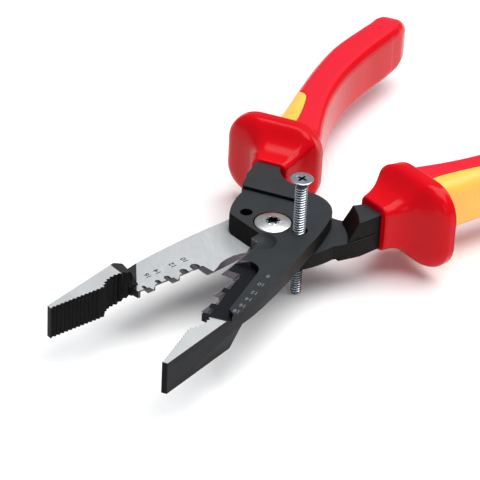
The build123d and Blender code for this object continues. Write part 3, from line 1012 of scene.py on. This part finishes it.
def threaded_rings(low, high, kit, thin_low=0.0, thin_high=0.0):
    """Rings up a threaded shank between two heights, with the thread fading out at the ends."""
    pitch, depth, major = kit.pitch / MM, kit.depth / MM, 1.75
    turns = 40
    rings = []
    count = int((high - low) / pitch * 12)
    for k in range(count + 1):
        z = low + (high - low) * k / count
        ring = []
        for i in range(turns):
            a = 2 * math.pi * i / turns
            phase = (z / pitch - a / (2 * math.pi)) % 1.0
            wave = min(1.0, max(0.0, abs(phase - 0.5) * 2.6 - 0.15))
            r = major - depth * wave
            if thin_low and z < low + thin_low:
                r = min(r, major - depth * (1.35 - (z - low) / thin_low))
            if thin_high and z > high - thin_high:
                r = min(r, major - depth * (z - high + thin_high) / thin_high)
            ring.append((r * math.cos(a), r * math.sin(a), z))
        rings.append(np.array(ring))
    return rings


def screw_head_mesh(kit):
    """Head end of the machine screw: cross recess, countersunk head and threaded shank."""
    top = SCREW_TOP
    rings = threaded_rings(LAP + 0.04, top - 2.1, kit, thin_high=0.5)
    profile = [
        (1.36, top - 1.95, 0), (1.5, top - 1.8, 0), (3.0, top - 0.35, 0), (3.18, top - 0.24, 0),
        (3.2, top - 0.12, 0), (3.12, top - 0.02, 0), (3.0, top, 0), (1.9, top, 0), (1.06, top, 1),
        (1.0, top - 0.08, 1), (0.82, top - 0.7, 1), (0.45, top - 1.25, 1),
    ]
    rings += round_rings(profile, 40, cross)
    return rings


def screw_tail_mesh(kit):
    """Cut-off tail of the machine screw with its chamfered end."""
    return threaded_rings(SCREW_TIP, LAP - 0.04, kit, thin_low=0.5)


def at_cutter(rings):
    """Rings moved to the cutter hole."""
    return [(r + np.array([*SCREW_SPOT, 0.0])) * MM for r in rings]


# ---------------------------------------------------------------- operators


class STRIPPER_OT_forgings(bpy.types.Operator):
    """Rounds and finishes the two forged halves."""

    bl_idname = "stripper.forgings"
    bl_label = "Forged halves"

    def execute(self, context):
        kit = context.scene.stripper_forging
        cut, tooth = cut_steel(kit), tooth_black()
        for half, side in SIDES.items():
            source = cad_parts[half + "_half"]
            mesh = forging_mesh(side, half + "_forging", source, kit)
            looks = [black_lit_and_shaded(kit, side), ground_steel(kit, side), cut, tooth]
            piece = add_piece(context, half + "_forging", mesh, half + "_jaw", looks, 40)
            even = piece.modifiers.new("even_shading", "WEIGHTED_NORMAL")
            even.keep_sharp = True
            even.weight = 90
            if half == "upper":
                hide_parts("upper_half")
            else:
                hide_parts("lower_half")
        return {"FINISHED"}


class STRIPPER_OT_numbers(bpy.types.Operator):
    """Marks the wire sizes beside the stripping notches."""

    bl_idname = "stripper.numbers"
    bl_label = "Wire size numbers"

    def execute(self, context):
        kit = context.scene.stripper_forging
        printed = [("10", 27.4, 4.2), ("12", 31.6, 4.0), ("14", 37.0, 3.8), ("16", 40.3, 3.7)]
        mesh = number_mesh("lower_blade_numbers", printed, -1, 0.03, (0, 1, 0), (1, 0, 0), 2.3)
        ink = marking("printed_ink", kit.ink)
        piece = add_piece(context, "lower_blade_numbers", mesh, "lower_jaw", [ink])
        etched = [
            ("8", 25.5, 9.1), ("10", 30.0, 9.0), ("12", 34.5, 8.9),
            ("14", 38.0, 8.7), ("16", 41.5, 8.4), ("18", 44.6, 8.0),
        ]
        mesh = number_mesh("upper_half_numbers", etched, 1, 4.41, (0, -1, 0), (1, 0, 0), 2.0)
        etch = marking("etched_mark", kit.etch)
        piece = add_piece(context, "upper_half_numbers", mesh, "upper_jaw", [etch])
        return {"FINISHED"}


class STRIPPER_OT_sleeves(bpy.types.Operator):
    """Moulds the red sleeves with their hand guards."""

    bl_idname = "stripper.sleeves"
    bl_label = "Red sleeves"

    def execute(self, context):
        kit = context.scene.stripper_handle
        for half, side in SIDES.items():
            mesh = sleeve_mesh(side, half + "_handle_sleeve", kit)
            piece = add_piece(
                context, half + "_handle_sleeve", mesh, half + "_jaw", [red_moulding(kit, side)], 50
            )
            if half == "upper":
                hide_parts("upper_sleeve")
            else:
                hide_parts("lower_sleeve")
        return {"FINISHED"}


class STRIPPER_OT_inlays(bpy.types.Operator):
    """Lays the soft yellow inlays into the sleeves, and finishes the inner insulation."""

    bl_idname = "stripper.inlays"
    bl_label = "Grip inlays"

    def execute(self, context):
        kit = context.scene.stripper_handle
        finish, core = yellow_grip(kit), yellow_core()
        for half, side in SIDES.items():
            mesh = inlay_mesh(side, half + "_handle_inlay", kit)
            piece = add_piece(context, half + "_handle_inlay", mesh, half + "_jaw", [finish], 50)
            if half == "upper":
                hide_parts("upper_grip_inlay")
            else:
                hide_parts("lower_grip_inlay")
            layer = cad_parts[half + "_inner_layer"]
            for place in layer.material_slots:
                place.material = core
        return {"FINISHED"}


class STRIPPER_OT_pivot(bpy.types.Operator):
    """Turns the pivot screw and finishes the pivot nut."""

    bl_idname = "stripper.pivot"
    bl_label = "Pivot screw and nut"

    def execute(self, context):
        kit = context.scene.stripper_screw
        bright = plated("bright_steel", kit.bright, 0.24, (0.0, 0.0), (2.05, PIVOT_TOP), (0.1, 0.2))
        mesh = pivot_head_mesh("pivot_screw_head")
        piece = add_piece(context, "pivot_screw_head", mesh, "lower_jaw", [bright], 35)
        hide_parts("pivot_screw")
        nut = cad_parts["pivot_nut"]
        for place in nut.material_slots:
            place.material = bright
        return {"FINISHED"}


class STRIPPER_OT_machine_screw(bpy.types.Operator):
    """Cuts the thread of the machine screw that stands in the cutter."""

    bl_idname = "stripper.machine_screw"
    bl_label = "Machine screw"

    def execute(self, context):
        kit = context.scene.stripper_screw
        zinc = plated("zinc_steel", kit.zinc, 0.14, SCREW_SPOT, (1.7, SCREW_TOP), (1.42, 1.72))
        mesh = outward(ring_mesh("cut_screw_head_end", at_cutter(screw_head_mesh(kit))))
        piece = add_piece(context, "cut_screw_head_end", mesh, "upper_jaw", [zinc], 42)
        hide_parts("machine_screw_head_end")
        mesh = outward(ring_mesh("cut_screw_tail", at_cutter(screw_tail_mesh(kit))))
        piece = add_piece(context, "cut_screw_tail", mesh, "lower_jaw", [zinc], 42)
        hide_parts("machine_screw_tail")
        return {"FINISHED"}


class STRIPPER_OT_stage(bpy.types.Operator):
    """Sets the pale floor, soft lights and camera."""

    bl_idname = "stripper.stage"
    bl_label = "Floor, lights and camera"

    def execute(self, context):
        kit = context.scene.stripper_stage
        scene = context.scene
        level = CAD_BOX[0].z - 0.0004  # just under the lowest face
        mesh = bpy.data.meshes.new("pale_floor")
        reach = 4.0
        corners = [(-reach, -reach), (reach, -reach), (reach, reach), (-reach, reach)]
        mesh.from_pydata([(*corner, level) for corner in corners], [], [(0, 1, 2, 3)])
        floor = bpy.data.objects.new("pale_floor", mesh)
        scene.collection.objects.link(floor)
        made, tree, shader = material("pale_floor")
        skin = use(tree, "surface_skin", (-700, -200), Scale=400.0, Wave_Scale=3.0, Wave=0.5)
        worn = worn_colour(tree, (*kit.floor, 1), (0.95, 0.95, 0.95, 1), 0.1, 20.0, 0.5)
        tree.links.new(worn, shader.inputs["Base Color"])
        roughen(tree, shader, skin.outputs["Tone"], 0.1, 0.75)
        mesh.materials.append(made)

        world = bpy.data.worlds.new("soft_room")
        scene.world = world
        world.use_nodes = True
        back = world.node_tree.nodes["Background"]
        back.inputs["Color"].default_value = (0.95, 0.97, 1.0, 1)
        back.inputs["Strength"].default_value = 0.34

        def softbox(name, place, aim, width, height, power):
            data = bpy.data.lights.new(name, "AREA")
            data.shape = "RECTANGLE"
            data.size, data.size_y = width, height
            data.energy = power
            box = bpy.data.objects.new(name, data)
            scene.collection.objects.link(box)
            box.location = place
            box.rotation_euler = (Vector(aim) - Vector(place)).to_track_quat("-Z", "Y").to_euler()

        softbox("top_softbox", (-0.2, 0.2, 1.1), (0, 0, 0), 1.3, 1.3, 21.0)
        softbox("side_softbox", (0.9, 0.9, 0.5), (0, 0, 0), 0.6, 0.5, 1.2)

        turn, tilt, roll = (math.radians(v) for v in (kit.azimuth, kit.elevation, kit.roll))
        right = Vector((math.cos(turn), math.sin(turn), 0))
        back_way = Vector(
            (math.sin(turn) * math.cos(tilt), -math.cos(turn) * math.cos(tilt), math.sin(tilt))
        )
        up = back_way.cross(right)
        rolled_right = right * math.cos(roll) + up * math.sin(roll)
        rolled_up = up * math.cos(roll) - right * math.sin(roll)
        aside, above = 8.930 * MM, 1.202 * MM
        spot = back_way * kit.distance - rolled_right * aside - rolled_up * above + Vector((0, 0, LAP * MM))
        data = bpy.data.cameras.new("viewer")
        data.lens = kit.lens
        data.sensor_width = 36.0
        data.clip_start, data.clip_end = 0.05, 20.0
        camera = bpy.data.objects.new("viewer", data)
        axes = Matrix((rolled_right, rolled_up, back_way)).transposed()
        camera.matrix_world = Matrix.Translation(spot) @ axes.to_4x4()
        scene.collection.objects.link(camera)
        bpy.context.scene.camera = camera
        scene.view_settings.view_transform = "Standard"
        return {"FINISHED"}


STEPS = [
    STRIPPER_OT_forgings,
    STRIPPER_OT_numbers,
    STRIPPER_OT_sleeves,
    STRIPPER_OT_inlays,
    STRIPPER_OT_pivot,
    STRIPPER_OT_machine_screw,
    STRIPPER_OT_stage,
]


class STRIPPER_PT_panel(bpy.types.Panel):
    """Lists the steps that build the tool, with their settings."""

    bl_idname = "STRIPPER_PT_panel"
    bl_label = "Wire Stripper"
    bl_space_type = "VIEW_3D"
    bl_region_type = "UI"
    bl_category = "Wire Stripper"

    def draw(self, context):
        for step in STEPS:
            self.layout.operator(step.bl_idname)
        for name, kind in SETTINGS.items():
            box = self.layout.box()
            box.label(text=kind.__doc__)
            for prop in kind.__annotations__:
                box.prop(getattr(context.scene, name), prop)


CLASSES = [*SETTINGS.values(), *STEPS, STRIPPER_PT_panel]


def register():
    """Adds the settings, operators and panel to Blender."""
    for kind in CLASSES:
        bpy.utils.register_class(kind)
    for name, kind in SETTINGS.items():
        setattr(bpy.types.Scene, name, bpy.props.PointerProperty(type=kind))


def unregister():
    """Takes them out again."""
    for name in SETTINGS:
        delattr(bpy.types.Scene, name)
    for kind in reversed(CLASSES):
        bpy.utils.unregister_class(kind)


def main():
    """Builds every piece and the stage."""
    register()
    for step in STEPS:
        area, name = step.bl_idname.split(".")
        getattr(getattr(bpy.ops, area), name)()


if __name__ == "__main__":
    main()
